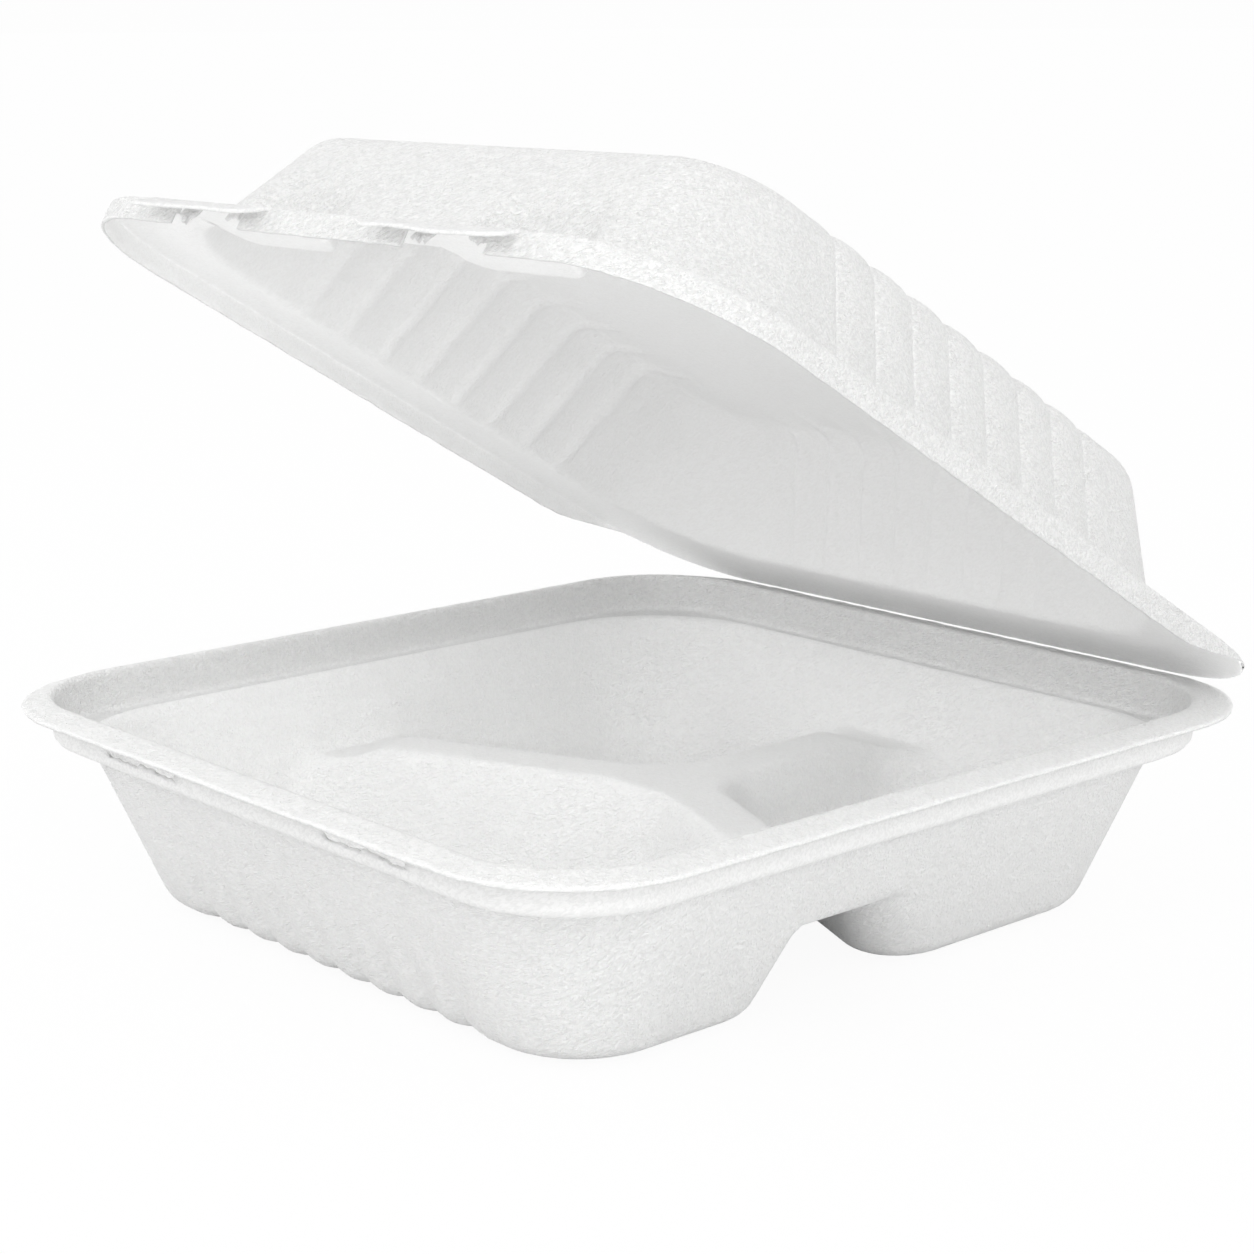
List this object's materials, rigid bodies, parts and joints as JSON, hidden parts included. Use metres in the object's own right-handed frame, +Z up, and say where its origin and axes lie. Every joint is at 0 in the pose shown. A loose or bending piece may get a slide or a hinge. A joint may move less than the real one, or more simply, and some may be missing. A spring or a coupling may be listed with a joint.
{
  "type": "three-compartment bagasse clamshell",
  "caption": "Hinged take-away food box of moulded sugarcane pulp, with a divided base, a fluted domed lid, and tabs on the lid that tuck into slots in the front of the rim.",
  "frame": {"origin": "on the table, under the middle of the open box's width and depth", "axes": "+X to the right seen from the latch side, +Y towards the hinge, +Z up"},
  "size_m": [0.2058, 0.217, 0.1692],
  "materials": {
    "base_pulp": "matt moulded pulp",
    "lid_pulp": "matt moulded pulp"
  },
  "bodies": {
    "base_body": {"base": "base_pulp"},
    "lid_body": {"lid": "lid_pulp"}
  },
  "joints": [
    {"name": "lid_hinge", "type": "hinge", "parent": "base_body", "child": "lid_body", "pos_m": [0, 0.1083, 0.04635], "axis": [-1, 0, 0], "range_deg": [-30.5, 149.5]}
  ]
}
